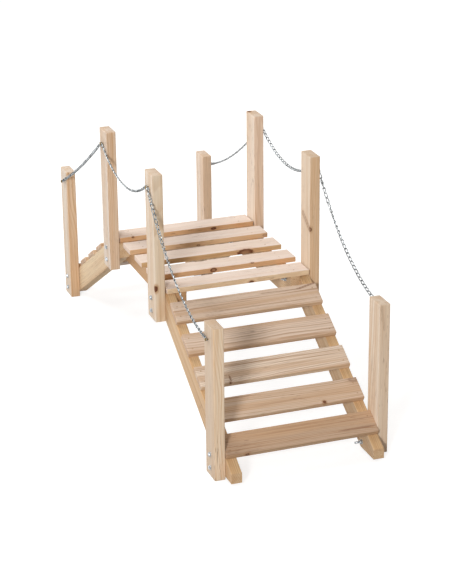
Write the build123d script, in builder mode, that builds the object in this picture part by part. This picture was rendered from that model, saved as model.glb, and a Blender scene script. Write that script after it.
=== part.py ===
from build123d import *
import math
import os

# A garden moon bridge: two short ramps climb to a level deck of spaced boards,
# and slack chains hang along both sides on the outer faces of eight posts.
# +Y runs along the bridge, +X across it, and Z is zero on the ground.

# Timber stock, in millimetres
timber_thickness = 38.0
timber_depth = 89.0
timber_ease = 3.0
board_length = 550.0
board_width = 89.0
board_thickness = 19.0
board_ease = 2.0

# Deck and its posts
deck_height = 458.0
deck_pitch = 145.4
deck_board_count = 5
deck_post_inset = 7.0
deck_post_drop = 15.0
post_length = 544.0

# Ramps and their foot posts
ramp_angle = 29.8
ramp_drop = 11.0
ramp_board_count = 5
ramp_board_head = 40.0
ramp_board_foot = 60.0
seat_height = 9.0
seat_length = 115.0
nose_overhang = 56.0

# Chain links, square bars with the corners taken off
link_pitch = 19.9
link_wire = 2.8
link_inner_width = 6.6
link_corner = 3.5
link_gap = 0.3
chain_clearance = 0.7

# Spare length of each chain between its posts
near_slack_share = 0.027
deck_slack_share = 0.027
far_slack_share = 0.0005

# Hexagon-headed screws that carry the chains
foot_screw_below_top = 49.0
deck_screw_below_top = 52.0
screw_shank = 4.5
screw_bite = 28.0
screw_head_flats = 10.0
screw_head_height = 4.0
screw_fit = 0.05

# Levels and places that follow from the sizes above
pitch_angle = math.radians(ramp_angle)
slope = math.tan(pitch_angle)
deck_underside = deck_height - board_thickness
joist_bottom = deck_underside - timber_depth
deck_half = deck_pitch * (deck_board_count - 1) / 2 + board_width / 2
post_inner = board_length / 2
post_outer = post_inner + timber_thickness
deck_post_y = deck_half - deck_post_inset - timber_depth / 2
deck_post_bottom = joist_bottom - deck_post_drop
link_width = link_inner_width + 2 * link_wire
link_length = link_pitch + 2 * link_wire + link_gap
chain_standoff = link_width / 2 + chain_clearance


def stringer_top(y):
    """Height of a ramp stringer's upper edge at a distance y from mid-span."""
    return deck_underside - ramp_drop - (y - deck_half) * slope


def stringer_bottom(y):
    """Height of a ramp stringer's lower edge at a distance y from mid-span."""
    return stringer_top(y) - timber_depth / math.cos(pitch_angle)


end_y = deck_post_y - timber_depth / 2
level_y = deck_half - ramp_drop / slope
seat_y = deck_half + (stringer_bottom(deck_half) - seat_height) / slope
nose_y = seat_y + seat_length
foot_post_y = nose_y - nose_overhang - timber_depth / 2

sides = {"left": -1, "right": 1}
ends = {"near": -1, "far": 1}

os.makedirs("parts", exist_ok=True)


def save(piece, name):
    """Label a finished piece and write it to its own file."""
    piece.part.label = name
    export_step(piece.part, f"parts/{name}.step")


# Posts from the near foot to the far foot: place along the bridge, lower end, screw height
foot_screw = post_length - foot_screw_below_top
deck_screw = deck_post_bottom + post_length - deck_screw_below_top
posts = {
    ("near", "foot"): (-foot_post_y, 0, foot_screw),
    ("near", "deck"): (-deck_post_y, deck_post_bottom, deck_screw),
    ("far", "deck"): (deck_post_y, deck_post_bottom, deck_screw),
    ("far", "foot"): (foot_post_y, 0, foot_screw),
}

for side_name, side in sides.items():
    for (end_name, post_name), (y, bottom, screw_height) in posts.items():
        with BuildPart(Plane((side * (post_inner + post_outer) / 2, y, bottom))) as post:
            Box(
                timber_thickness,
                timber_depth,
                post_length,
                align=(Align.CENTER, Align.CENTER, Align.MIN),
            )
            chamfer(post.edges().filter_by(Axis.Z), timber_ease)
            with BuildSketch(Plane((side * post_outer, y, screw_height), z_dir=(-side, 0, 0))):
                Circle(screw_shank / 2 + screw_fit)
            extrude(amount=screw_bite + screw_fit, mode=Mode.SUBTRACT)
        save(post, f"{end_name}_{side_name}_{post_name}_post")

# Ramp stringers: seat and nose cuts at the foot, level and plumb cuts under the deck
stringer_outline = [
    (nose_y, seat_height),
    (seat_y, seat_height),
    (end_y, stringer_bottom(end_y)),
    (end_y, deck_underside),
    (level_y, deck_underside),
    (nose_y, stringer_top(nose_y)),
]

for side_name, side in sides.items():
    for end_name, end in ends.items():
        with BuildPart() as stringer:
            with BuildSketch(Plane.YZ.offset(side * (post_inner - timber_thickness / 2))):
                with BuildLine():
                    Polyline(*[(end * y, z) for y, z in stringer_outline], close=True)
                make_face()
            extrude(amount=timber_thickness / 2, both=True)
            chamfer(stringer.edges().sort_by(SortBy.LENGTH)[-4:], timber_ease)
        save(stringer, f"{end_name}_{side_name}_stringer")

# Deck joists, inside the ramp stringers
joist_x = post_inner - timber_thickness * 3 / 2
for side_name, side in sides.items():
    with BuildPart(Plane((side * joist_x, 0, joist_bottom))) as joist:
        Box(
            timber_thickness,
            2 * deck_half,
            timber_depth,
            align=(Align.CENTER, Align.CENTER, Align.MIN),
        )
        chamfer(joist.edges().filter_by(Axis.Y), timber_ease)
    save(joist, f"{side_name}_deck_joist")


def board(plane, name):
    """One walking board lying on a plane, with its long edges eased."""
    with BuildPart(plane) as plank:
        Box(
            board_length,
            board_width,
            board_thickness,
            align=(Align.CENTER, Align.CENTER, Align.MIN),
        )
        chamfer(plank.edges().filter_by(Axis.X), board_ease)
    save(plank, name)


for number in range(deck_board_count):
    y = (number - (deck_board_count - 1) / 2) * deck_pitch
    board(Plane((0, y, deck_underside)), f"deck_board_{number + 1}")

# Ramp boards, spread evenly from the deck's edge to just above the nose
ramp_run = (nose_y - deck_half) / math.cos(pitch_angle)
ramp_spread = ramp_run - ramp_board_head - ramp_board_foot - board_width
for end_name, end in ends.items():
    for number in range(ramp_board_count):
        run = ramp_board_head + board_width / 2 + ramp_spread * number / (ramp_board_count - 1)
        y = deck_half + run * math.cos(pitch_angle)
        lie = Plane(
            (0, end * y, stringer_top(y)),
            x_dir=(1, 0, 0),
            z_dir=(0, end * math.sin(pitch_angle), math.cos(pitch_angle)),
        )
        board(lie, f"{end_name}_ramp_board_{number + 1}")

# One chain link, flat in XY with its length along X
with BuildPart() as link:
    with BuildSketch() as link_face:
        Rectangle(link_length, link_width)
        chamfer(link_face.vertices(), link_corner)
        Rectangle(link_length - 2 * link_wire, link_inner_width, mode=Mode.SUBTRACT)
    extrude(amount=link_wire / 2, both=True)

# One chain screw, pointing along Z with its seat on the post at zero
head_seat = chain_standoff + link_wire / 2 + link_gap
with BuildPart(Plane.XY.offset(-screw_bite)) as screw:
    Cylinder(
        screw_shank / 2,
        screw_bite + head_seat,
        align=(Align.CENTER, Align.CENTER, Align.MIN),
    )
    with BuildSketch(Plane.XY.offset(head_seat)):
        RegularPolygon(screw_head_flats / 2, side_count=6, major_radius=False)
    extrude(amount=screw_head_height)


def hang(start, stop, count):
    """Slopes of equal links that hang at rest between two points.

    The pull along Y is the same in every link and the load grows by one link's
    weight at each joint, so the tangents of the slopes are evenly spaced.
    """

    def slopes(step, lowest):
        return [math.atan(step * (number - lowest)) for number in range(count)]

    def balanced(step):
        low, high = -count / step, count + count / step
        for _ in range(80):
            lowest = (low + high) / 2
            rise = link_pitch * sum(math.sin(angle) for angle in slopes(step, lowest))
            low, high = (lowest, high) if rise > stop.Z - start.Z else (low, lowest)
        return slopes(step, lowest)

    slack, tight = 1, 0
    for _ in range(60):
        step = (slack + tight) / 2
        angles = balanced(step)
        reach = link_pitch * sum(math.cos(angle) for angle in angles)
        slack, tight = (step, tight) if reach < stop.Y - start.Y else (slack, step)
    return angles


def along(angle):
    """Direction of a slope in the chain's own upright plane."""
    return Vector(0, math.cos(angle), math.sin(angle))


def across(angle):
    """Direction square to a slope, upwards in the chain's own upright plane."""
    return Vector(0, -math.sin(angle), math.cos(angle))


def link_at(middle, angle, roll):
    """Place of one link, flat against the posts when its roll is zero."""
    face = Vector(1, 0, 0) * math.cos(roll) + across(angle) * math.sin(roll)
    return Location(Plane(middle, x_dir=along(angle), z_dir=face))


def chain_places(side):
    """Places of every link of one side's chain, from the near foot to the far foot."""
    chain_x = side * (post_outer + chain_standoff)
    hooks = [Vector(chain_x, y, screw_height) for y, bottom, screw_height in posts.values()]
    spans = list(zip(hooks, hooks[1:]))
    slack_shares = (near_slack_share, deck_slack_share, far_slack_share)

    # The links on the screws give half a pitch to each span, and an end one its reach too
    reach = (link_pitch - link_gap - screw_shank) / 2
    held = (link_pitch + reach, link_pitch, link_pitch + reach)
    counts = [
        math.ceil(((stop - start).length * (1 + share) - given) / link_pitch)
        for (start, stop), share, given in zip(spans, slack_shares, held)
    ]
    loose = [hang(start, stop, count + 1) for (start, stop), count in zip(spans, counts)]

    # An end screw holds a link by its end, a middle screw one tilted between its two spans
    tilts = [loose[0][0]]
    tilts += [(before[-1] + after[0]) / 2 for before, after in zip(loose, loose[1:])]
    tilts += [loose[-1][-1]]
    sink = (link_inner_width - screw_shank) / 2 - link_gap
    middles = [hook - across(tilt) * sink for hook, tilt in zip(hooks, tilts)]
    middles[0] = hooks[0] + along(tilts[0]) * reach
    middles[-1] = hooks[-1] - along(tilts[-1]) * reach

    # Between the screws each link is a quarter turn on from the last, and an even
    # count shares one more quarter turn among its links
    places = [link_at(middle, tilt, 0) for middle, tilt in zip(middles, tilts)]
    for span, count in enumerate(counts):
        turns = count + 1 if count % 2 else count + 2
        quarter = math.pi / 2 * turns / (count + 1)
        ease_in = math.sin(abs(loose[span][0] - tilts[span])) * link_wire / 2
        ease_out = math.sin(abs(loose[span][-1] - tilts[span + 1])) * link_wire / 2
        joint = middles[span] + along(tilts[span]) * (link_pitch / 2 - ease_in)
        last = middles[span + 1] - along(tilts[span + 1]) * (link_pitch / 2 - ease_out)
        for number, angle in enumerate(hang(joint, last, count)):
            middle = joint + along(angle) * (link_pitch / 2)
            places.append(link_at(middle, angle, quarter * (number + 1)))
            joint = joint + along(angle) * link_pitch
    return places


for side_name, side in sides.items():
    with BuildPart() as chain:
        with Locations(*chain_places(side)):
            add(link.part)
    save(chain, f"{side_name}_chain")

    seats = [
        Plane((side * post_outer, y, screw_height), z_dir=(side, 0, 0))
        for y, bottom, screw_height in posts.values()
    ]
    with BuildPart() as chain_screws:
        with Locations(*[Location(seat) for seat in seats]):
            add(screw.part)
    save(chain_screws, f"{side_name}_chain_screws")
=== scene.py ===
"""Looks of a garden moon bridge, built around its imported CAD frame.

Every timber, chain, screw and bolt is a mesh of its own in metres, in the CAD's frame:
+Y along the walkway, +X across it to the right, Z zero on the ground.
"""

import logging
import math
import random
from collections.abc import Sequence
from dataclasses import dataclass, field
from enum import Enum

import bmesh
import bpy
import numpy as np
from bpy.types import ID, Material, Mesh, Node, NodeTree, Object
from bpy.types import NodeSocket as Socket, bpy_prop_collection as Sockets
from mathutils import Matrix, Vector

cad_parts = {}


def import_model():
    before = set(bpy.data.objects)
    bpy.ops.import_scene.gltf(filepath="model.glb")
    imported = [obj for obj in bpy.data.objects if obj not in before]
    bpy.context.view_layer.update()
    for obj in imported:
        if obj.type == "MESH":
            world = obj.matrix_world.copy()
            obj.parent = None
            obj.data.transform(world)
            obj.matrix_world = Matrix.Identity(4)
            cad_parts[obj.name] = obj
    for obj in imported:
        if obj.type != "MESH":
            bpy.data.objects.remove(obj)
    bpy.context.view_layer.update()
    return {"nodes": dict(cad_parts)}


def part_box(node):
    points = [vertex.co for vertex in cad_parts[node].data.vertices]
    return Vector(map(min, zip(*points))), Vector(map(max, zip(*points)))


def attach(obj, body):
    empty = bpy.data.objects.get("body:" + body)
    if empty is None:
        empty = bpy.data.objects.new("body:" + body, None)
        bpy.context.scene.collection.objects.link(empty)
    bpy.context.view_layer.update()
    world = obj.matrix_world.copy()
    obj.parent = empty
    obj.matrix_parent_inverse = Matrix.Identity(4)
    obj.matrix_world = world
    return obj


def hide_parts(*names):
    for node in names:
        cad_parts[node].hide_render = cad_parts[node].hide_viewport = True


LOG = logging.getLogger("moon_bridge")

Colour = tuple[float, float, float, float]
Point = tuple[float, float, float]
Rings = list[list[Vector]]
Fed = dict[int, object] | dict[str, object]

X_AXIS, Y_AXIS, Z_AXIS = Vector((1, 0, 0)), Vector((0, 1, 0)), Vector((0, 0, 1))

# Sizes that the deck and the ramps share
SLOPE = math.radians(29.8)
BOARD_COUNT = 5
BOARD_WIDTH = 0.089
BOARD_THICKNESS = 0.019
BOARD_ROUNDING = 0.0016


class Side(Enum):
    """The two long sides of the walkway, as the sign of X."""

    LEFT = -1
    RIGHT = 1


class End(Enum):
    """The two ends of the walkway, as the sign of Y."""

    NEAR = -1
    FAR = 1


class Edge(Enum):
    """The long edges of a bar, as the signs of its width and thickness."""

    FAR_TOP = (1, 1)
    NEAR_TOP = (-1, 1)
    NEAR_BOTTOM = (-1, -1)
    FAR_BOTTOM = (1, -1)


class Slot(Enum):
    """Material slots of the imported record."""

    SOFTWOOD = "softwood"
    CHAIN = "zinc_chain"
    SCREW = "brass_screw"


def screen_colour(red: int, green: int, blue: int) -> Colour:
    """Turn a screen colour, from 0 to 255, into a linear one with full alpha by the sRGB curve."""
    shares = (value / 255 for value in (red, green, blue))
    return (*(s / 12.92 if s <= 0.04045 else ((s + 0.055) / 1.055) ** 2.4 for s in shares), 1.0)


@dataclass
class NodeSheet:
    """A short hand for wiring the shader nodes of one tree. Values are numbers, colours or sockets."""

    tree: NodeTree

    def feed(self, node: Node, fed: Fed) -> None:
        """Link inputs of a node to other sockets, or set their own values.

        Args:
            node: The node.
            fed: Value of each input, by its number or name.
        """
        for key, value in fed.items():
            if isinstance(value, Socket):
                self.tree.links.new(value, node.inputs[key])
            else:
                node.inputs[key].default_value = value

    def add(self, kind: str, fed: Fed | None = None, **settings: object) -> Node:
        """Add one node.

        Args:
            kind: Node type, without its ShaderNode prefix where it has one.
            fed: Value of each input, by its number or name.
            settings: Properties of the node.

        Returns:
            The new node.
        """
        node = self.tree.nodes.new(kind if kind.startswith("Node") else f"ShaderNode{kind}")
        for name, value in settings.items():
            setattr(node, name, value)
        self.feed(node, fed or {})
        return node

    def maths(self, operation: str, *values: object) -> Socket:
        """Work out one number by a named operation."""
        return self.add("Math", dict(enumerate(values)), operation=operation).outputs[0]

    def times(self, first: object, second: object, plus: object = 0.0) -> Socket:
        """Multiply two numbers and add a third."""
        return self.maths("MULTIPLY_ADD", first, second, plus)

    def vector(self, operation: str, *values: object) -> Socket:
        """Work out one vector, or the length of one, by a named operation."""
        node = self.add("VectorMath", dict(enumerate(values)), operation=operation)
        return node.outputs["Value" if operation == "LENGTH" else "Vector"]

    def step(self, value: object, low: float, high: float) -> Socket:
        """Rise smoothly from 0 where a value is low to 1 where it is high."""
        fed = {0: value, 1: low, 2: high}
        return self.add("MapRange", fed, interpolation_type="SMOOTHSTEP").outputs[0]

    def fall(self, value: object, low: float, high: float) -> Socket:
        """Fall smoothly from 1 where a value is low to 0 where it is high."""
        return self.maths("SUBTRACT", 1.0, self.step(value, low, high))

    def blend(self, share: object, first: object, second: object, how: str = "MIX") -> Socket:
        """Mix a share of the second colour into the first, by a named way of mixing."""
        fed = {0: share, 6: first, 7: second}
        return self.add("Mix", fed, data_type="RGBA", blend_type=how).outputs[2]

    def noise(self, place: Socket, stretch: Point, detail: float = 2.0) -> Socket:
        """Read a noise of so many cycles per metre along, across and through a bar."""
        fed = {"Vector": self.vector("MULTIPLY", place, stretch), "Scale": 1.0, "Detail": detail}
        return self.add("TexNoise", fed).outputs[0]

    def surface(self, look: Sockets, strength: float, depth: float, more: Fed) -> None:
        """Drive the tree's own shader by a placed group.

        Args:
            look: Outputs of the group: colour, roughness and height.
            strength: Strength of the relief.
            depth: Depth of the relief in metres.
            more: Value of other inputs of the shader.
        """
        bump = self.add("Bump", {"Strength": strength, "Distance": depth, "Height": look["Height"]})
        fed = {"Base Color": look["Colour"], "Roughness": look["Roughness"], "Normal": bump.outputs[0]}
        self.feed(self.tree.nodes["Principled BSDF"], {**fed, **more})


def blank_material(name: str) -> tuple[Material, NodeSheet]:
    """Start a material.

    Args:
        name: Name of the material.

    Returns:
        The material and its nodes.
    """
    material = bpy.data.materials.new(name)
    material.use_nodes = True
    return material, NodeSheet(material.node_tree)


@dataclass(frozen=True)
class Veil:
    """A stretched noise that rises from 0 to 1 over a part of its range."""

    stretch: Point
    detail: float
    low: float
    high: float

    def read(self, sheet: NodeSheet, place: Socket) -> Socket:
        """Wire the veil at a place in the wood or metal."""
        return sheet.step(sheet.noise(place, self.stretch, self.detail), self.low, self.high)


class SharedGroup:
    """A shader node group that is built once and placed in many materials."""

    name = "shared_group"
    inputs: dict[str, str] = {}
    outputs: dict[str, str] = {}

    @classmethod
    def tree(cls) -> NodeTree:
        """Build the group on first use.

        Returns:
            The group's node tree.
        """
        found = bpy.data.node_groups.get(cls.name)
        if found:
            return found
        tree = bpy.data.node_groups.new(cls.name, "ShaderNodeTree")
        for way, sockets in (("INPUT", cls.inputs), ("OUTPUT", cls.outputs)):
            for label, kind in sockets.items():
                tree.interface.new_socket(label, in_out=way, socket_type=f"NodeSocket{kind}")
        sheet = NodeSheet(tree)
        given = cls.wire(sheet, sheet.add("NodeGroupInput").outputs)
        sheet.add("NodeGroupOutput", given)
        return tree

    @classmethod
    def wire(cls, sheet: NodeSheet, taken: Sockets) -> dict[str, object]:
        """Wire the group's nodes from the sockets of its inputs, and give the socket of each output."""
        raise NotImplementedError

    @classmethod
    def place(cls, sheet: NodeSheet, **fed: object) -> Sockets:
        """Place the group, fed by its labels with _ for a space, and give its outputs."""
        named = {label.replace("_", " "): value for label, value in fed.items()}
        return sheet.add("Group", named, node_tree=cls.tree()).outputs


class KnotGroup(SharedGroup):
    """One knot or mark: where it is, and how it pushes the growth rings aside."""

    name = "knot_mark"
    inputs = {"Place": "Vector", "Middle": "Vector", "Size": "Vector", "Push": "Float"}
    outputs = {"Core": "Float", "Rim": "Float", "Swirl": "Float"}
    ragged = (90.0, 260.0, 260.0)

    @classmethod
    def wire(cls, sheet: NodeSheet, taken: Sockets) -> dict[str, object]:
        """Wire an ellipsoid with an uneven border, as SharedGroup.wire says."""
        apart = sheet.vector("SUBTRACT", taken["Place"], taken["Middle"])
        scaled = sheet.vector("DIVIDE", apart, taken["Size"])
        far = sheet.maths("ADD", sheet.vector("LENGTH", scaled), -0.25)
        far = sheet.times(sheet.noise(taken["Place"], cls.ragged, 3.0), 0.5, far)
        ringed = sheet.times(sheet.step(far, 0.2, 0.75), 0.45, 0.55)
        core = sheet.times(sheet.fall(far, 0.75, 1.05), ringed)
        fade = sheet.maths("POWER", 2.718, sheet.times(sheet.times(far, far), -0.3))
        return {"Core": core, "Rim": sheet.fall(far, 0.9, 2.1), "Swirl": sheet.times(fade, taken["Push"])}


class PlanedWoodGroup(SharedGroup):
    """Growth rings, fibres and short dark dashes of planed softwood in a log's own frame, with partly painted
    shade on the narrow sides.
    """

    name = "planed_wood"
    inputs = {
        **dict.fromkeys(("Place", "Pith", "Lean"), "Vector"),
        **dict.fromkeys(("Ring Width", "Swirl", "Knot", "Rim"), "Float"),
        **dict.fromkeys(("Sawn", "Narrow", "Contrast", "Banding"), "Float"),
        **dict.fromkeys(("Pale", "Late", "Warm", "Edge Tint", "Knot Colour"), "Color"),
    }
    outputs = {"Colour": "Color", "Roughness": "Float", "Height": "Float"}
    drift = (2.6, 3.0, 3.0)
    wander = (9.0, 26.0, 26.0)
    fibres = (9.0, 520.0, 520.0)
    bands = Veil((0.9, 30.0, 30.0), 2.0, 0.4, 0.66)
    streaks = Veil((2.4, 140.0, 140.0), 3.0, 0.54, 0.72)
    dashes = Veil((26.0, 400.0, 400.0), 1.0, 0.63, 0.71)
    patches = Veil((5.0, 14.0, 14.0), 1.0, 0.4, 0.7)

    @classmethod
    def wire(cls, sheet: NodeSheet, taken: Sockets) -> dict[str, object]:
        """Wire rings round the pith and stretched noises, as SharedGroup.wire says."""
        log = sheet.vector("SUBTRACT", taken["Place"], taken["Pith"])
        along, beside, below = sheet.add("SeparateXYZ", {0: log}).outputs
        lean = sheet.add("SeparateXYZ", {0: taken["Lean"]}).outputs
        across = sheet.times(along, lean[1], beside)
        across = sheet.times(sheet.noise(log, cls.drift, 1.0), 0.03, across)
        through = sheet.times(along, lean[2], below)
        squares = sheet.maths("ADD", sheet.times(across, across), sheet.times(through, through))
        radius = sheet.maths("ADD", sheet.maths("SQRT", squares), taken["Swirl"])
        radius = sheet.times(sheet.noise(log, cls.wander), 0.004, radius)
        years = sheet.maths("DIVIDE", radius, taken["Ring Width"])
        turn = sheet.maths("FRACT", years)
        late = sheet.times(sheet.step(turn, 0.3, 0.88), sheet.fall(turn, 0.9, 1.0))
        mood = sheet.add("TexWhiteNoise", noise_dimensions="1D")
        sheet.feed(mood, {"W": sheet.maths("FLOOR", years)})
        late = sheet.times(late, sheet.times(mood.outputs[0], 0.8, 0.45))

        band, streaked = cls.bands.read(sheet, log), cls.streaks.read(sheet, log)
        dash = sheet.times(cls.dashes.read(sheet, log), cls.patches.read(sheet, log))
        fibre = sheet.noise(log, cls.fibres, 3.0)
        shade = sheet.times(fibre, 0.4, 0.8)
        grey = sheet.add("CombineColor", {0: shade, 1: shade, 2: shade})

        colour = sheet.blend(sheet.times(late, taken["Contrast"]), taken["Pale"], taken["Late"])
        colour = sheet.blend(sheet.times(band, taken["Banding"]), colour, taken["Warm"])
        colour = sheet.blend(sheet.times(streaked, taken["Banding"]), colour, taken["Late"])
        colour = sheet.blend(1.0, colour, grey.outputs[0], "MULTIPLY")
        # Narrow sides (board edges, post fronts) are multiplied darker: partly the wood's edge tone, partly
        # painted shade for the light that these sides miss.
        colour = sheet.blend(taken["Narrow"], colour, taken["Edge Tint"], "MULTIPLY")
        colour = sheet.blend(sheet.times(dash, 0.62), colour, taken["Knot Colour"])
        colour = sheet.blend(sheet.times(taken["Sawn"], 0.18), colour, taken["Late"])
        colour = sheet.blend(sheet.times(taken["Rim"], 0.5), colour, taken["Late"])
        colour = sheet.blend(taken["Knot"], colour, taken["Knot Colour"])

        rough = sheet.times(taken["Sawn"], 0.2, sheet.times(late, -0.1, 0.62))
        height = sheet.times(dash, -0.9, sheet.times(late, 0.5, fibre))
        return {"Colour": colour, "Roughness": rough, "Height": height}


class PlatedGroup(SharedGroup):
    """Cloudy plating whose dull patches are partly dirt and partly painted dark reflection, for wire, bolts and
    screws.
    """

    name = "plated_metal"
    inputs = {"Place": "Vector", "Bright": "Color", "Dull": "Color", "Grime": "Float"}
    outputs = {"Colour": "Color", "Roughness": "Float", "Height": "Float"}
    clouds = Veil((150.0, 150.0, 150.0), 2.0, 0.45, 0.62)
    pits = (1400.0, 1400.0, 1400.0)

    @classmethod
    def wire(cls, sheet: NodeSheet, taken: Sockets) -> dict[str, object]:
        """Wire clouds and fine pitting, as SharedGroup.wire says."""
        # Cloudy dull patches: partly dirt, partly painted dark reflection that gives shiny metal its glint
        # contrast.
        share = sheet.times(cls.clouds.read(sheet, taken["Place"]), taken["Grime"])
        pit = sheet.noise(taken["Place"], cls.pits)
        rough = sheet.times(pit, 0.12, sheet.times(share, 0.3, 0.24))
        return {"Colour": sheet.blend(share, taken["Bright"], taken["Dull"]), "Roughness": rough, "Height": pit}


@dataclass(frozen=True)
class Knot:
    """A knot or dark mark in a bar's own frame, in metres."""

    middle: Point
    size: Point
    strength: float = 1.0
    push: float = 0.004


@dataclass(frozen=True)
class EdgeLoss:
    """A stretch of one long edge where wood is missing."""

    edge: Edge
    middle: float
    reach: float
    depth: float


@dataclass(frozen=True)
class Stock:
    """Tones of one kind of timber as it comes from the yard, and the darker colour of its narrow sides, which
    is partly edge tone and partly painted shade.
    """

    pale: Colour
    edge_tint: Colour
    late: Colour
    warm: Colour
    contrast: float
    banding: float


# Each stock's second colour darkens the narrow sides: partly edge tone, partly painted shade.
DECK_STOCK = Stock(
    screen_colour(231, 214, 201), (0.92, 0.72, 0.48, 1.0),
    screen_colour(196, 150, 112), screen_colour(216, 184, 156), contrast=0.3, banding=0.25,
)
RAMP_STOCK = Stock(
    screen_colour(212, 190, 169), (1.0, 0.95, 0.84, 1.0),
    screen_colour(152, 106, 66), screen_colour(190, 151, 114), contrast=0.54, banding=0.6,
)
POST_STOCK = Stock(
    screen_colour(224, 208, 190), (0.98, 0.93, 0.86, 1.0),
    screen_colour(184, 144, 104), screen_colour(204, 171, 136), contrast=0.45, banding=0.5,
)
JOIST_STOCK = Stock(
    screen_colour(212, 182, 146), (0.95, 0.88, 0.76, 1.0),
    screen_colour(168, 124, 82), screen_colour(192, 150, 108), contrast=0.5, banding=0.5,
)


@dataclass(frozen=True)
class WoodFinish:
    """One bar's planed softwood: its place in the log, its tones, the partly painted shade of its narrow sides
    and its knots.
    """

    seed: int
    stock: Stock
    pale: Colour
    edge_tint: Colour
    ring_width: float
    knots: tuple[Knot, ...] = ()
    knot_colour: Colour = screen_colour(100, 57, 32)
    relief: tuple[float, float] = (0.25, 0.0006)

    def material(self, name: str) -> Material:
        """Make this bar's material.

        Args:
            name: Name of the bar.

        Returns:
            The new material.
        """
        chance = random.Random(self.seed)
        pith = (chance.uniform(2.0, 40.0), chance.uniform(-0.05, 0.05), -chance.uniform(0.03, 0.08))
        lean = (0.0, chance.uniform(-0.03, 0.03), chance.uniform(-0.02, 0.02))
        material, sheet = blank_material(f"softwood_{name}")
        place = sheet.add("Attribute", attribute_name="grain").outputs["Vector"]
        sawn = sheet.add("Attribute", attribute_name="sawn").outputs["Fac"]
        narrow = sheet.add("Attribute", attribute_name="narrow").outputs["Fac"]
        core, rim, swirl = 0.0, 0.0, 0.0
        for knot in self.knots:
            mark = KnotGroup.place(sheet, Place=place, Middle=knot.middle, Size=knot.size, Push=knot.push)
            core = sheet.maths("MAXIMUM", core, sheet.times(mark["Core"], knot.strength))
            rim = sheet.maths("MAXIMUM", rim, sheet.times(mark["Rim"], knot.strength))
            swirl = sheet.maths("ADD", swirl, mark["Swirl"])
        wood = PlanedWoodGroup.place(
            sheet, Place=place, Pith=pith, Lean=lean, Ring_Width=self.ring_width, Swirl=swirl, Knot=core,
            Rim=rim, Sawn=sawn, Narrow=narrow, Contrast=self.stock.contrast, Banding=self.stock.banding,
            Pale=self.pale, Late=self.stock.late, Warm=self.stock.warm, Edge_Tint=self.edge_tint,
            Knot_Colour=self.knot_colour,
        )
        sheet.surface(wood, *self.relief, {"Specular IOR Level": 0.3})
        return material


@dataclass(frozen=True)
class MetalFinish:
    """A plated metal: its bright and dull tones and how much of it is dull, the dull partly dirt and partly
    painted dark reflection.
    """

    name: str
    bright: Colour
    dull: Colour
    grime: float
    relief: tuple[float, float] = (0.2, 0.0003)

    def material(self) -> Material:
        """Make the material on first use.

        Returns:
            The material.
        """
        found = bpy.data.materials.get(self.name)
        if found:
            return found
        material, sheet = blank_material(self.name)
        place = sheet.add("TexCoord").outputs["Object"]
        plate = PlatedGroup.place(sheet, Place=place, Bright=self.bright, Dull=self.dull, Grime=self.grime)
        sheet.surface(plate, *self.relief, {"Metallic": 1.0})
        return material


# The dull tones are darker than plain zinc and brass: partly dirt, partly painted dark reflection.
ZINC_WIRE = MetalFinish("zinc_wire", screen_colour(166, 170, 172), screen_colour(58, 61, 63), 0.9)
ZINC_BOLT = MetalFinish("zinc_bolt", screen_colour(198, 202, 205), screen_colour(98, 103, 108), 0.65)
YELLOW_SCREW = MetalFinish("yellow_screw", screen_colour(146, 122, 76), screen_colour(74, 60, 38), 0.7)
BOARD_SCREW = MetalFinish("board_screw", screen_colour(178, 142, 106), screen_colour(118, 88, 60), 0.7)


@dataclass
class MeshStock:
    """Points and faces of a piece while it is put together."""

    points: list[Vector] = field(default_factory=list)
    faces: list[list[int]] = field(default_factory=list)

    def rings(self, rings: Rings, place: Matrix, closed: bool = False) -> None:
        """Join rings of points into a skin, with a face over each open end.

        Args:
            rings: Rings with the same number of points each.
            place: Where their frame stands.
            closed: Whether the last ring joins the first.
        """
        first, count, around = len(self.points), len(rings), len(rings[0])
        self.points.extend(place @ point for ring in rings for point in ring)
        for row in range(count if closed else count - 1):
            here, after = first + row * around, first + (row + 1) % count * around
            for index in range(around):
                beside = (index + 1) % around
                self.faces.append([here + index, here + beside, after + beside, after + index])
        if not closed:
            last = first + (count - 1) * around
            self.faces.append(list(range(first, first + around))[::-1])
            self.faces.append(list(range(last, last + around)))

    def mesh(self, name: str, sharp: float = 40.0) -> Mesh:
        """Turn the stock into a mesh.

        Args:
            name: Name of the mesh.
            sharp: Angle in degrees above which an edge stays sharp.

        Returns:
            The mesh, with its faces turned outwards.
        """
        mesh = bpy.data.meshes.new(name)
        mesh.from_pydata([tuple(point) for point in self.points], [], self.faces)
        tidy = bmesh.new()
        tidy.from_mesh(mesh)
        bmesh.ops.recalc_face_normals(tidy, faces=tidy.faces)
        tidy.to_mesh(mesh)
        tidy.free()
        smooth(mesh, sharp)
        return mesh


def smooth(mesh: Mesh, sharp: float) -> None:
    """Shade a mesh smooth, but for edges above an angle in degrees."""
    mesh.polygons.foreach_set("use_smooth", [True] * len(mesh.polygons))
    mesh.set_sharp_from_angle(angle=math.radians(sharp))


def show(name: str, data: ID) -> Object:
    """Put a new object into the scene.

    Args:
        name: Name of the object.
        data: Its mesh, light or camera.

    Returns:
        The object.
    """
    thing = bpy.data.objects.new(name, data)
    bpy.context.scene.collection.objects.link(thing)
    return thing


def set_out(mesh: Mesh, slot: Slot, material: Material, *nodes: str) -> None:
    """Put a finished mesh into the scene as a piece of the bridge.

    Args:
        mesh: The mesh, in the CAD's frame.
        slot: Record slot of its finish; not used.
        material: Its material.
        nodes: CAD nodes that it stands for.
    """
    piece = show(mesh.name, mesh)
    mesh.materials.append(material)
    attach(piece, "root")
    if nodes:
        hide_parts(*nodes)
    LOG.info("%s: %d faces", piece.name, len(mesh.polygons))


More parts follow.
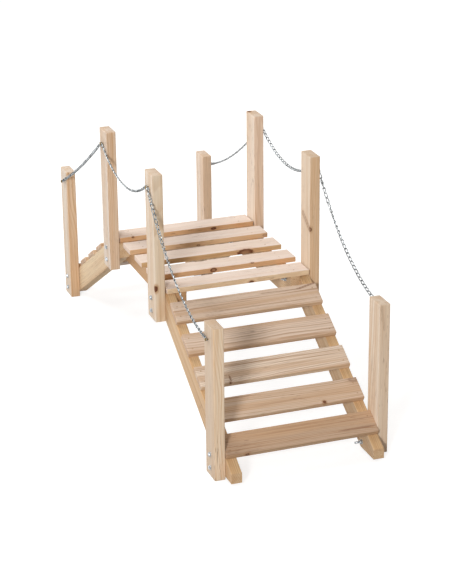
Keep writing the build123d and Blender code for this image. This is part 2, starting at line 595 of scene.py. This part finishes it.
@dataclass
class Bar:
    """A planed bar with rounded long edges and sawn ends, in its own frame.

    Its length runs along x, its width along y and its thickness along z.
    """

    name: str
    place: Matrix
    length: float
    width: float
    thickness: float
    finish: WoodFinish
    rounding: float = 0.003
    most_rounding: float = 0.49
    arc_steps: int = 4
    shoulder: float = 0.002
    arris: float = 0.0008
    station: float = 0.006
    facing: float = 0.4
    losses: tuple[EdgeLoss, ...] = ()
    cuts: tuple[tuple[Vector, Vector], ...] = ()

    def outline(self, along: float, inset: float) -> list[Vector]:
        """Section of the bar at one place.

        Args:
            along: Place along the bar.
            inset: How far the section is drawn in.

        Returns:
            Points round the section.
        """
        points: list[Vector] = []
        for turn, edge in enumerate(Edge):
            radius = self.rounding
            for loss in self.losses:
                if loss.edge is edge:
                    share = max(0.0, 1 - ((along - loss.middle) / loss.reach) ** 2)
                    radius += loss.depth * math.sqrt(share)
            radius = min(radius, self.thickness * self.most_rounding, self.width * self.most_rounding)
            y = edge.value[0] * (self.width / 2 - inset - radius)
            z = edge.value[1] * (self.thickness / 2 - inset - radius)
            angles = [math.pi / 2 * (turn + step / self.arc_steps) for step in range(self.arc_steps + 1)]
            arc = [Vector((along, y + radius * math.cos(a), z + radius * math.sin(a))) for a in angles]
            before = Vector((0, math.sin(angles[0]), -math.cos(angles[0]))) * self.shoulder
            after = Vector((0, -math.sin(angles[-1]), math.cos(angles[-1]))) * self.shoulder
            points += [arc[0] + before, *arc, arc[-1] + after]
        return points

    def mesh(self) -> Mesh:
        """Build the bar's mesh with its grain written on it.

        Returns:
            The mesh, in the CAD's frame.
        """
        half = self.length / 2
        inner, ease = half - self.arris, self.arris * 0.3
        count = max(2, round(2 * inner / self.station))
        places = [(-half, self.arris), (-half + ease, ease)]
        places += [(-inner + 2 * inner * step / count, 0.0) for step in range(count + 1)]
        places += [(half - ease, ease), (half, self.arris)]
        stock = MeshStock()
        stock.rings([self.outline(*place) for place in places], self.place)
        mesh = stock.mesh(self.name, 50.0)
        if self.cuts:
            self.saw(mesh)
        self.write_grain(mesh)
        return mesh

    def saw(self, mesh: Mesh) -> None:
        """Cut the mesh by each plane and close the sawn faces.

        Args:
            mesh: The bar's mesh, in the CAD's frame.
        """
        body = bmesh.new()
        body.from_mesh(mesh)
        for point, outward in self.cuts:
            every = [*body.verts, *body.edges, *body.faces]
            cut = bmesh.ops.bisect_plane(body, geom=every, plane_co=point, plane_no=outward, clear_outer=True)
            rim = [edge for edge in cut["geom_cut"] if isinstance(edge, bmesh.types.BMEdge)]
            bmesh.ops.contextual_create(body, geom=rim)
        bmesh.ops.remove_doubles(body, verts=body.verts, dist=1e-6)
        bmesh.ops.recalc_face_normals(body, faces=body.faces)
        body.to_mesh(mesh)
        body.free()
        smooth(mesh, 35.0)

    def write_grain(self, mesh: Mesh) -> None:
        """Store where each point lies in the bar, and which faces are sawn ends or narrow sides.

        Args:
            mesh: The bar's mesh, in the CAD's frame.
        """
        back = self.place.inverted()
        grain = mesh.attributes.new("grain", "FLOAT_VECTOR", "POINT")
        grain.data.foreach_set("vector", [value for vertex in mesh.vertices for value in back @ vertex.co])
        for name, direction in (("sawn", X_AXIS), ("narrow", Y_AXIS)):
            way = self.place.to_3x3() @ direction
            marks = [0.0] * len(mesh.loops)
            for face in mesh.polygons:
                share = min(1.0, max(0.0, abs(face.normal.dot(way)) / self.facing - 1.0))
                for index in face.loop_indices:
                    marks[index] = share
            mesh.attributes.new(name, "FLOAT", "CORNER").data.foreach_set("value", marks)

    def lay(self) -> None:
        """Put the bar into the scene in place of its CAD node."""
        set_out(self.mesh(), Slot.SOFTWOOD, self.finish.material(self.name), self.name)


def frame_of(middle: Vector, along: Vector, across: Vector) -> Matrix:
    """Frame of a bar at its middle, with its thickness square to its length and width."""
    turn = Matrix((along, across, along.cross(across))).transposed()
    return Matrix.Translation(middle) @ turn.to_4x4()


def facing(spot: Vector, way: Vector, axis: str = "Z") -> Matrix:
    """Frame at a spot, with one named axis turned to a direction."""
    return Matrix.Translation(spot) @ way.to_track_quat(axis, "Y").to_matrix().to_4x4()


def box_middle(node: str) -> tuple[Vector, Vector]:
    """Middle and size of a CAD node's box."""
    low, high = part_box(node)
    return (low + high) / 2, high - low


def squared(node: str, along: Vector, across: Vector) -> tuple[Matrix, float, float, float]:
    """Frame, length, width and thickness of a CAD bar that lies square to the axes."""
    (middle, size), ways = box_middle(node), (along, across, along.cross(across))
    return frame_of(middle, along, across), *(abs(size.dot(way)) for way in ways)


def streak(start: Point, stop: Point, size: Point, strength: float, count: int = 6) -> tuple[Knot, ...]:
    """Line up small marks that run together into one streak and leave the growth rings as they are."""
    middles = (Vector(start).lerp(Vector(stop), number / (count - 1)) for number in range(count))
    return tuple(Knot(tuple(middle), size, strength, 0.0) for middle in middles)


KNOTS: dict[str, tuple[Knot, ...]] = {
    "deck_board_1": (Knot((0.047, -0.0445, -0.0075), (0.010, 0.008, 0.007), 1.3),),
    "deck_board_2": (
        Knot((-0.046, -0.0445, 0.001), (0.014, 0.008, 0.010)),
        Knot((0.105, -0.0445, 0.0095), (0.008, 0.006, 0.005), 0.7),
        Knot((-0.085, 0.043, 0.0095), (0.004, 0.004, 0.004), 0.9),
        Knot((-0.046, 0.043, 0.0095), (0.004, 0.004, 0.004), 0.9),
    ),
    "deck_board_3": (Knot((0.131, -0.0445, -0.004), (0.036, 0.013, 0.0160)),),
    "deck_board_4": (
        Knot((-0.005, -0.0445, -0.006), (0.008, 0.005, 0.004), 0.8),
        Knot((0.265, -0.0445, 0.0), (0.012, 0.006, 0.007), 0.5),
    ),
    "deck_board_5": (
        Knot((0.107, -0.0445, 0.0), (0.012, 0.010, 0.006), 1.5),
        Knot((-0.2185, -0.0445, 0.006), (0.006, 0.008, 0.004)),
    ),
    "near_ramp_board_1": (
        *streak((0.080, 0.028, 0.0095), (0.195, 0.026, 0.0095), (0.022, 0.0022, 0.003), 0.4),
        *streak((0.205, 0.027, 0.0095), (0.262, 0.041, 0.0095), (0.010, 0.0030, 0.003), 0.6),
    ),
    "near_ramp_board_3": (
        Knot((-0.165, -0.026, 0.0095), (0.003, 0.012, 0.003), 0.7),
        Knot((-0.169, -0.0425, 0.006), (0.005, 0.004, 0.005), 0.8),
    ),
    "near_ramp_board_4": (
        Knot((0.128, -0.038, 0.008), (0.006, 0.006, 0.006), 1.4),
        Knot((0.262, 0.038, 0.0095), (0.022, 0.014, 0.004), 0.42),
    ),
    "near_ramp_board_5": (
        Knot((-0.200, -0.0445, 0.0), (0.008, 0.006, 0.007)),
        Knot((0.205, -0.020, 0.0095), (0.070, 0.004, 0.003), 0.45),
    ),
    "near_left_deck_post": (Knot((-0.145, -0.0435, 0.0165), (0.012, 0.008, 0.008), 1.8),),
    "near_right_deck_post": (
        *streak((0.044, 0.022, 0.019), (0.006, -0.034, 0.019), (0.012, 0.012, 0.004), 0.4),
        Knot((0.002, -0.042, 0.018), (0.010, 0.008, 0.008), 0.9),
    ),
    "near_right_foot_post": streak(
        (0.258, -0.0445, 0.012), (0.190, -0.0445, 0.002), (0.014, 0.004, 0.004), 0.16, 8,
    ),
    "far_right_deck_post": (Knot((0.2715, 0.036, 0.010), (0.006, 0.010, 0.007), 1.8),),
}

LOSSES: dict[str, tuple[EdgeLoss, ...]] = {
    "deck_board_2": (
        EdgeLoss(Edge.FAR_TOP, -0.066, 0.020, 0.008),
        EdgeLoss(Edge.NEAR_TOP, 0.105, 0.007, 0.004),
    ),
    "deck_board_3": (EdgeLoss(Edge.NEAR_TOP, 0.131, 0.034, 0.0065),),
}

# Colour lift of each bar: partly its own tone, partly painted light and shade matched to how brightly it is
# lit.
BAR_TONE_AND_PAINTED_LIGHT: dict[str, Point] = {
    # Painted shade: the left joist is darkened as if it lay in the shadow of the deck boards above it.
    "left_deck_joist": (0.8, 0.68, 0.56),
    "deck_board_1": (0.98, 0.98, 0.98),
    "deck_board_4": (0.96, 0.96, 0.96),
    "near_ramp_board_1": (1.04, 1.03, 1.03),
    "near_ramp_board_2": (1.06, 1.05, 1.06),
    "near_ramp_board_3": (1.17, 1.22, 1.26),
    "near_ramp_board_5": (0.75, 0.67, 0.6),
    "near_left_foot_post": (0.87, 0.83, 0.79),
    **{f"far_ramp_board_{number}": (1.15, 1.17, 1.2) for number in range(1, BOARD_COUNT + 1)},
    "near_right_foot_post": (1.0, 1.02, 1.04),
    "near_right_deck_post": (0.96, 0.94, 0.91),
    "far_right_deck_post": (1.04, 1.04, 1.06),
    "far_right_foot_post": (1.06, 1.06, 1.1),
    "far_left_deck_post": (0.97, 0.99, 1.05),
    "far_left_foot_post": (1.0, 1.03, 1.07),
    "near_left_stringer": (1.06, 1.1, 1.14),
    "near_right_stringer": (1.06, 1.1, 1.14),
    "far_left_stringer": (1.15, 1.28, 1.4),
    "far_right_stringer": (1.1, 1.2, 1.3),
}

# Colour lift of each bar's narrow sides: partly tone, partly painted light and shade matched to how brightly
# those sides are lit.
NARROW_TONE_AND_PAINTED_LIGHT: dict[str, Point] = {
    "deck_board_1": (1.06, 1.2, 1.34),
    "deck_board_2": (0.9, 0.84, 0.78),
    "deck_board_3": (0.84, 0.84, 0.75),
    "deck_board_5": (0.94, 0.87, 0.79),
    "near_left_foot_post": (1.2, 1.24, 1.26),
    "near_left_deck_post": (1.03, 1.08, 1.1),
    "far_left_deck_post": (1.03, 0.96, 0.87),
    "far_left_foot_post": (1.06, 0.96, 0.84),
    "near_right_foot_post": (1.0, 0.97, 0.94),
    "near_right_deck_post": (1.04, 0.95, 0.84),
    "far_right_deck_post": (1.04, 0.96, 0.92),
}


def lifted(colour: Colour, lift: Point) -> Colour:
    """Make a colour lighter or darker, each channel by its own share."""
    red, green, blue = (value * share for value, share in zip(colour, lift))
    return (red, green, blue, 1.0)


@dataclass
class WoodYard:
    """Deals out finishes, with each bar's tone and painted light lift and the marks that single bars carry."""

    dealt: int = 0

    def finish(self, name: str, stock: Stock) -> WoodFinish:
        """Deal out the next bar's finish.

        Args:
            name: Name of the bar.
            stock: Kind of timber that it is cut from.

        Returns:
            The bar's finish.
        """
        self.dealt += 1
        chance = random.Random(self.dealt)
        plain = chance.uniform(0.98, 1.03)
        pale = lifted(stock.pale, BAR_TONE_AND_PAINTED_LIGHT.get(name, (plain, plain, plain)))
        edge = lifted(stock.edge_tint, NARROW_TONE_AND_PAINTED_LIGHT.get(name, (1.0, 1.0, 1.0)))
        ring_width = chance.uniform(0.0035, 0.006)
        return WoodFinish(self.dealt, stock, pale, edge, ring_width, KNOTS.get(name, ()))


@dataclass
class Deck:
    """The level deck: five spaced boards on two joists."""

    yard: WoodYard
    post_gap: float = 0.005
    station: float = 0.003

    def build(self) -> None:
        """Lay the joists and the boards, with the outer boards cut just short of the posts."""
        for side in Side:
            name = f"{side.name.lower()}_deck_joist"
            Bar(name, *squared(name, Y_AXIS, Z_AXIS), self.yard.finish(name, JOIST_STOCK)).lay()
        for number in range(1, BOARD_COUNT + 1):
            name = f"deck_board_{number}"
            board = Bar(
                name, *squared(name, X_AXIS, Y_AXIS), self.yard.finish(name, DECK_STOCK),
                rounding=BOARD_ROUNDING, station=self.station, losses=LOSSES.get(name, ()),
            )
            if number in (1, BOARD_COUNT):
                board.length -= 2 * self.post_gap
            board.lay()


@dataclass
class Ramp:
    """One ramp: two stringers with their cuts, and five boards on them."""

    end: End
    yard: WoodYard
    drop: float = 0.011
    deck_half: float = 0.3353
    stringer_depth: float = 0.089
    spare: float = 1.6
    station: float = 0.02

    def farward(self) -> Vector:
        """Direction along the slope, towards the far end of the bridge."""
        return Vector((0, math.cos(SLOPE), -self.end.value * math.sin(SLOPE)))

    def build(self) -> None:
        """Saw the stringers and lay the boards."""
        for side in Side:
            self.stringer(side)
        for number in range(1, BOARD_COUNT + 1):
            name = f"{self.end.name.lower()}_ramp_board_{number}"
            middle, size = box_middle(name)
            Bar(
                name, frame_of(middle, X_AXIS, self.farward()), size.x, BOARD_WIDTH, BOARD_THICKNESS,
                self.yard.finish(name, RAMP_STOCK), rounding=BOARD_ROUNDING,
            ).lay()

    def stringer(self, side: Side) -> None:
        """Saw one stringer from a bar that is longer than it.

        Args:
            side: Side of the walkway that it stands on.
        """
        name = f"{self.end.name.lower()}_{side.name.lower()}_stringer"
        low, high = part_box(name)
        middle, size = box_middle(name)
        along = self.farward()
        across = X_AXIS.cross(along)
        tip = Vector((middle.x, self.end.value * self.deck_half, high.z - self.drop))
        reach = (middle - tip).dot(along)
        centre = tip + along * reach - across * (self.stringer_depth / 2)
        nose_and_heel = ((low, -Y_AXIS), (high, Y_AXIS))[::-self.end.value]
        cuts = (*nose_and_heel, (high, Z_AXIS), (low, -Z_AXIS))
        Bar(
            name, frame_of(centre, along, across), size.y * self.spare, self.stringer_depth, size.x,
            self.yard.finish(name, JOIST_STOCK), cuts=cuts, station=self.station,
        ).lay()


def turns(around: int) -> list[float]:
    """Even angles round a circle."""
    return [2 * math.pi * step / around for step in range(around)]


def polar(radii: Sequence[float], level: float) -> list[Vector]:
    """Points at one level and even angles round Z, each at its own radius."""
    angles = turns(len(radii))
    return [Vector((r * math.cos(a), r * math.sin(a), level)) for r, a in zip(radii, angles)]


@dataclass(frozen=True)
class BoltMaker:
    """Hexagon bolts with washers, nuts and a threaded end, as rings of points round Z."""

    thread: float = 0.008
    pitch: float = 0.00125
    flats: float = 0.013
    head: float = 0.0053
    nut: float = 0.0065
    washer: float = 0.0175
    washer_thickness: float = 0.0016
    proud: float = 0.0
    thread_steps: float = 4.2
    thread_depth: float = 0.54
    taper: float = 0.0012

    def hexagon(self, start: float, height: float, crowned: bool = False) -> Rings:
        """Shape a hexagon with eased corners.

        Args:
            start: Height where it starts.
            height: Its own height.
            crowned: Whether its lower corners are eased too.

        Returns:
            Its rings.
        """
        wide, cap, ease = self.flats / math.sqrt(3), self.flats / 2 * 0.95, self.flats * 0.055
        sixth = math.pi / 3
        flat = [self.flats / 2 / math.cos((a + sixth / 2) % sixth - sixth / 2) for a in turns(36)]
        top = start + height
        levels = [(start, cap), (start + ease, wide)] if crowned else [(start, wide)]
        levels += [(top - ease, wide), (top, cap), (top, self.flats * 0.2)]
        return [polar([min(r, most) for r in flat], level) for level, most in levels]

    def disc(self) -> Rings:
        """Shape a washer with rounded rims.

        Returns:
            Its rings.
        """
        inner, outer, top = self.thread * 0.4, self.washer / 2, self.washer_thickness
        ease = top * 0.3
        profile = [(inner, 0.0), (outer - ease, 0.0), (outer, ease)]
        profile += [(outer, top - ease), (outer - ease, top), (inner, top)]
        return [polar([radius] * 32, level) for radius, level in profile]

    def tip(self, start: float) -> Rings:
        """Shape the threaded end as one helical ridge.

        Args:
            start: Height where it starts.

        Returns:
            Its rings.
        """
        around, steps = 20, round(self.proud / self.pitch * self.thread_steps)
        rings = []
        for row in range(steps + 1):
            level = self.proud * row / steps
            root = self.thread / 2 - max(0.0, level - self.proud + self.taper)
            phases = [(level / self.pitch - step / around) % 1.0 for step in range(around)]
            radii = [root - abs(2 * phase - 1) * self.pitch * self.thread_depth for phase in phases]
            rings.append(polar(radii, start + level))
        return rings

    def bolt(self, stock: MeshStock, outside: Vector, inside: Vector, turn: float) -> None:
        """Add one whole bolt.

        Args:
            stock: Where it goes.
            outside: Where its head seats.
            inside: Where its nut seats.
            turn: How far its hexagons are turned.
        """
        outward = (outside - inside).normalized()
        spin = Matrix.Rotation(turn, 4, "Z")
        seat = self.washer_thickness
        for rings in (self.disc(), self.hexagon(seat, self.head)):
            stock.rings(rings, facing(outside, outward) @ spin)
        for rings in (self.disc(), self.hexagon(seat, self.nut, True), self.tip(seat + self.nut)):
            stock.rings(rings, facing(inside, -outward) @ spin)


@dataclass
class Posts:
    """Eight posts, each held by two bolts through the timbers beside it."""

    yard: WoodYard
    rounding: float = 0.0035
    bolt_heights: tuple[float, float] = (0.031, 0.080)
    timber_thickness: float = 0.038
    left_foot_bolts: BoltMaker = BoltMaker(proud=0.005)
    right_foot_bolts: BoltMaker = BoltMaker(proud=0.019)
    deck_bolts: BoltMaker = BoltMaker(proud=0.009)

    def build(self) -> None:
        """Stand the posts and bolt them."""
        for side in Side:
            foot_bolts = self.left_foot_bolts if side is Side.LEFT else self.right_foot_bolts
            for end in End:
                for kind, layers, maker in (("foot", 1, foot_bolts), ("deck", 2, self.deck_bolts)):
                    self.stand(f"{end.name.lower()}_{side.name.lower()}_{kind}", side, layers, maker)

    def stand(self, name: str, side: Side, layers: int, maker: BoltMaker) -> None:
        """Stand one post.

        Args:
            name: Its name, without the word post.
            side: Side of the walkway that it stands on.
            layers: Timbers between the post and its nuts.
            maker: Sizes of its bolts.
        """
        node = f"{name}_post"
        finish = self.yard.finish(node, POST_STOCK)
        Bar(node, *squared(node, Z_AXIS, Y_AXIS), finish, rounding=self.rounding).lay()
        low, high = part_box(node)
        middle = (low + high) / 2
        stock = MeshStock()
        outer = high.x if side is Side.RIGHT else low.x
        inner = outer - side.value * self.timber_thickness * (1 + layers)
        chance = random.Random(name)
        for height in self.bolt_heights:
            outside, inside = (Vector((x, middle.y, low.z + height)) for x in (outer, inner))
            maker.bolt(stock, outside, inside, chance.uniform(0, 1))
        set_out(stock.mesh(f"{name}_bolts"), Slot.CHAIN, ZINC_BOLT.material())


def islands(node: Object) -> list[np.ndarray]:
    """Split a CAD node's points into its separate solids.

    Args:
        node: The CAD object.

    Returns:
        The points of each solid, from the near end to the far end.
    """
    mesh = node.data
    points = np.array([vertex.co for vertex in mesh.vertices], float)
    keys: dict[tuple[int, ...], int] = {}
    welded = [keys.setdefault(tuple(np.round(point * 1e5).astype(int)), len(keys)) for point in points]
    leader = list(range(len(keys)))

    def head(index: int) -> int:
        """Find the leader of one point's solid."""
        while leader[index] != index:
            leader[index] = leader[leader[index]]
            index = leader[index]
        return index

    for face in mesh.polygons:
        corners = [head(welded[index]) for index in face.vertices]
        for corner in corners[1:]:
            leader[head(corner)] = head(corners[0])
    groups: dict[int, list[int]] = {}
    first = {number: index for index, number in reversed(list(enumerate(welded)))}
    for number, index in first.items():
        groups.setdefault(head(number), []).append(index)
    solids = [points[indices] for indices in groups.values()]
    return sorted(solids, key=lambda solid: solid[:, 1].mean())


@dataclass(frozen=True)
class Turning:
    """How the links of one span turn about the chain's own line between its screws."""

    half_turns: int
    bend: float
    lean: float
    sag: float = 0.0
    settle: float = 0.15

    def drop(self, share: float) -> float:
        """How far a link at a share of the span hangs below its CAD place."""
        return 4 * self.sag * share * (1 - share)

    def roll(self, share: float) -> float:
        """Turn of a link.

        Args:
            share: Its place in the span, from 0 at the near screw to 1 at the far one.

        Returns:
            The turn in radians, a whole number of half turns at both screws.
        """
        inside = min(1.0, min(share, 1 - share) / self.settle)
        ease = inside * inside * (3 - 2 * inside)
        return math.pi * self.half_turns * share ** self.bend + self.lean * ease


LEFT_TURNINGS = (Turning(-1, 3.0, 0.0), Turning(0, 1.0, -0.7), Turning(0, 1.0, -0.4))
RIGHT_TURNINGS = (Turning(-2, 4.6, 1.18), Turning(0, 1.0, 0.9), Turning(0, 1.0, 1.1, sag=0.023))


@dataclass
class Chain:
    """One side's chain of twisted links, hung on four screws."""

    side: Side
    turnings: tuple[Turning, Turning, Turning]
    wire: float = 0.0034
    pitch: float = 0.0199
    inner_width: float = 0.0050
    twist: float = math.radians(80.0)
    around: int = 28
    about: int = 8
    screw: BoltMaker = BoltMaker(thread=0.0045, flats=0.010, head=0.004)
    shank: tuple[float, float] = (-0.03, 0.0005)
    screw_turn: float = 0.9

    def link(self) -> Rings:
        """Rings of one twisted link, with its length along X.

        Returns:
            Rings of points round the wire.
        """
        half = (self.pitch + self.wire) / 2
        wide = (self.inner_width + self.wire) / 2
        straight = half - wide
        total = 4 * straight + 2 * math.pi * wide

        def line(run: float) -> Vector:
            """Middle of the wire at a run along it; its second half is the first turned round."""
            back, run = divmod(run % total, total / 2)
            x, y = run - straight, wide
            if run >= 2 * straight:
                angle = math.pi / 2 - (run - 2 * straight) / wide
                x, y = straight + wide * math.cos(angle), wide * math.sin(angle)
            x, y = (-x, -y) if back else (x, y)
            turn = self.twist * x / (2 * half)
            return Vector((x, y * math.cos(turn), y * math.sin(turn)))

        rings = []
        for step in range(self.around):
            run = total * step / self.around
            middle = line(run)
            tangent = (line(run + 1e-5) - line(run - 1e-5)).normalized()
            turn = self.twist * middle.x / (2 * half)
            up = Vector((0, -math.sin(turn), math.cos(turn)))
            up = (up - tangent * up.dot(tangent)).normalized()
            out = tangent.cross(up)
            spokes = [out * math.cos(a) + up * math.sin(a) for a in turns(self.about)]
            rings.append([middle + spoke * (self.wire / 2) for spoke in spokes])
        return rings

    def build(self, nodes: dict[str, Object]) -> None:
        """Hang a twisted link where each CAD link hangs.

        Args:
            nodes: The CAD nodes by name.
        """
        name = f"{self.side.name.lower()}_chain"
        screws = islands(nodes[f"{name}_screws"])
        hooks = [solid[:, 1].mean() for solid in screws]
        link = self.link()
        stock = MeshStock()
        for solid in islands(nodes[name]):
            middle = Vector(solid.mean(0))
            along = Vector(np.linalg.svd(solid - solid.mean(0))[2][0])
            along = along if along.y > 0 else -along
            span = sum(middle.y > hook for hook in hooks[1:-1])
            reach = hooks[span + 1] - hooks[span]
            share = min(1.0, max(0.0, (middle.y - hooks[span]) / reach))
            turning = self.turnings[span]
            roll = turning.roll(share)
            steeper = 4 * turning.sag * (1 - 2 * share) / reach
            along = (along - Z_AXIS * (steeper * along.y)).normalized()
            middle = middle - Z_AXIS * turning.drop(share)
            flat = Vector((0, -along.z, along.y)).normalized()
            across = flat * math.cos(roll) + X_AXIS * math.sin(roll)
            stock.rings(link, frame_of(middle, along, across), closed=True)
        set_out(stock.mesh(name), Slot.CHAIN, ZINC_WIRE.material(), name)
        self.hang_screws(screws)

    def hang_screws(self, screws: list[np.ndarray]) -> None:
        """Drive the screws that carry the chain.

        Args:
            screws: Points of each CAD screw.
        """
        stock = MeshStock()
        outward = X_AXIS * self.side.value
        for number, solid in enumerate(screws):
            reach = solid[:, 0].max() if self.side is Side.RIGHT else solid[:, 0].min()
            middle = (solid.min(0) + solid.max(0)) / 2
            seat = Vector((reach, middle[1], middle[2])) - outward * self.screw.head
            place = facing(seat, outward) @ Matrix.Rotation(number * self.screw_turn, 4, "Z")
            stock.rings(self.screw.hexagon(0.0, self.screw.head), place)
            stock.rings([polar([self.screw.thread / 2] * 16, level) for level in self.shank], place)
        name = f"{self.side.name.lower()}_chain_screws"
        set_out(stock.mesh(name), Slot.SCREW, YELLOW_SCREW.material(), name)


@dataclass
class BoardScrews:
    """Countersunk screws that hold the boards, two at each end of a board."""

    head: float = 0.005
    proud: float = 0.0002
    sunk: float = 0.001
    spread: float = 0.045
    from_end_deck: float = 0.057
    from_end_ramp: float = 0.019
    dish: tuple[tuple[float, float], ...] = ((0.88, 0.0), (0.62, -0.00005), (0.3, -0.0002), (0.12, -0.0006))
    recess: float = 0.0005

    def build(self) -> None:
        """Drive the screws of the deck and of both ramps."""
        flights = {
            "deck_board": (0.0, self.from_end_deck),
            "near_ramp_board": (SLOPE, self.from_end_ramp),
            "far_ramp_board": (-SLOPE, self.from_end_ramp),
        }
        screw = self.screw()
        for flight, (slope, from_end) in flights.items():
            stock = MeshStock()
            across = Vector((0, math.cos(slope), math.sin(slope)))
            for number in range(1, BOARD_COUNT + 1):
                middle, size = box_middle(f"{flight}_{number}")
                face = frame_of(middle, X_AXIS, across)
                for end, row in ((-1, -1), (-1, 1), (1, -1), (1, 1)):
                    x, y = end * (size.x / 2 - from_end), row * self.spread / 2
                    spot = Matrix.Translation((x, y, BOARD_THICKNESS / 2))
                    turn = Matrix.Rotation(number * 1.3 + end + row * 0.4, 4, "Z")
                    stock.rings(screw, face @ spot @ turn)
            set_out(stock.mesh(f"{flight}_screws"), Slot.SCREW, BOARD_SCREW.material())

    def screw(self) -> Rings:
        """Shape one dished head with a cross recess.

        Returns:
            Its rings, with Z out of the board.
        """
        around, radius = 24, self.head / 2
        rims = ((0.8, -self.sunk), (1.0, 0.0), (1.0, self.proud))
        rings = [polar([radius * share] * around, level) for share, level in rims]
        arms = [math.cos(2 * angle) ** 8 for angle in turns(around)]
        for share, depth in self.dish:
            cross = self.recess if 0.2 < share < 0.8 else 0.0
            ring = polar([radius * share] * around, self.proud)
            rings.append([point + Z_AXIS * (depth - cross * arm) for point, arm in zip(ring, arms)])
        return rings


@dataclass(frozen=True)
class Lamp:
    """One soft square lamp."""

    name: str
    spot: Point
    size: float
    power: float
    colour: Point
    glints: bool = True
    aim: Point = (0.0, 0.0, 0.35)

    def hang(self) -> None:
        """Hang the lamp so that it looks at the bridge."""
        light = bpy.data.lights.new(self.name, "AREA")
        light.size, light.energy, light.color = self.size, self.power, self.colour
        lamp = show(self.name, light)
        lamp.matrix_world = facing(Vector(self.spot), Vector(self.aim) - Vector(self.spot), "-Z")
        lamp.visible_glossy = self.glints


LAMPS = (
    Lamp("sky", (-2.7, 2.2, 4.3), 3.2, 196.0, (0.95, 0.98, 1.0)),
    Lamp("fill", (6.0, 4.5, 1.7), 3.0, 270.0, (1.0, 0.98, 0.95), glints=False),
    Lamp("key", (-5.2, -7.7, 3.9), 1.4, 560.0, (0.96, 0.98, 1.0)),
)


@dataclass
class Studio:
    """Floor, light and the camera at the photograph's angle."""

    eye: Point = (-2.110867, -6.167770, 2.815127)
    yaw: float = 0.339594
    pitch: float = -0.369823
    roll: float = -0.011640
    focal_pixels: float = 1856.1946
    image_height: float = 584.0
    floor_reach: float = 60.0
    floor_level: float = -0.0005
    floor_glow: float = 0.75

    def build(self) -> None:
        """Set up the whole studio."""
        self.camera()
        self.floor()
        self.world()
        for lamp in LAMPS:
            lamp.hang()
        bpy.context.scene.view_settings.view_transform = "Standard"

    def camera(self) -> None:
        """Place the camera."""
        ahead = math.cos(self.pitch)
        forward = Vector((math.sin(self.yaw) * ahead, math.cos(self.yaw) * ahead, math.sin(self.pitch)))
        right = Vector((math.cos(self.yaw), -math.sin(self.yaw), 0))
        up = right.cross(forward)
        level = right * math.cos(self.roll) + up * math.sin(self.roll)
        top = up * math.cos(self.roll) - right * math.sin(self.roll)
        lens = bpy.data.cameras.new("photo_camera")
        lens.sensor_fit = "VERTICAL"
        lens.sensor_height = 36.0
        lens.lens = self.focal_pixels / self.image_height * lens.sensor_height
        lens.clip_end = 200.0
        camera = show("photo_camera", lens)
        turn = Matrix((level, top, -forward)).transposed().to_4x4()
        camera.matrix_world = Matrix.Translation(self.eye) @ turn
        bpy.context.scene.camera = camera

    def seen(self, sheet: NodeSheet) -> Socket:
        """Tell rays that show the backdrop from rays that light the bridge.

        Args:
            sheet: The nodes that need it.

        Returns:
            A socket that is 1 on camera, glossy and transmission rays.
        """
        path = sheet.add("LightPath").outputs
        both = sheet.maths("MAXIMUM", path["Is Camera Ray"], path["Is Glossy Ray"])
        return sheet.maths("MAXIMUM", both, path["Is Transmission Ray"])

    def floor(self) -> None:
        """Lay a pale floor that keeps the bridge's shadow."""
        mesh = bpy.data.meshes.new("floor")
        corners = ((-1, -1), (1, -1), (1, 1), (-1, 1))
        points = [(x * self.floor_reach, y * self.floor_reach, self.floor_level) for x, y in corners]
        mesh.from_pydata(points, [], [(0, 1, 2, 3)])
        floor = show("floor", mesh)
        material, sheet = blank_material("pale_floor")
        sheet.feed(sheet.tree.nodes["Principled BSDF"], {
            "Base Color": (0.45, 0.45, 0.45, 1),
            "Roughness": 1.0,
            "Specular IOR Level": 0.0,
            "Emission Color": (1, 1, 1, 1),
            "Emission Strength": sheet.times(self.seen(sheet), self.floor_glow),
        })
        mesh.materials.append(material)

    def world(self) -> None:
        """Light the room softly, with a white backdrop."""
        world = bpy.data.worlds.new("soft_room")
        world.use_nodes = True
        bpy.context.scene.world = world
        sheet = NodeSheet(world.node_tree)
        room = world.node_tree.nodes["Background"]
        sheet.feed(room, {"Color": (1.0, 0.95, 0.9, 1), "Strength": 0.35})
        white = sheet.add("Background", {"Color": (1, 1, 1, 1)})
        mix = sheet.add("MixShader", {0: self.seen(sheet), 1: room.outputs[0], 2: white.outputs[0]})
        sheet.feed(world.node_tree.nodes["World Output"], {"Surface": mix.outputs[0]})


def main() -> None:
    """Load the frame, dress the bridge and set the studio."""
    logging.basicConfig(level=logging.INFO, format="%(name)s %(message)s")
    for name in ("Cube", "Camera", "Light"):
        spare = bpy.data.objects.get(name)
        if spare:
            bpy.data.objects.remove(spare)
    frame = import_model()
    yard = WoodYard()
    Deck(yard).build()
    for end in End:
        Ramp(end, yard).build()
    Posts(yard).build()
    for side, turnings in ((Side.LEFT, LEFT_TURNINGS), (Side.RIGHT, RIGHT_TURNINGS)):
        Chain(side, turnings).build(frame["nodes"])
    BoardScrews().build()
    Studio().build()


if __name__ == "__main__":
    main()
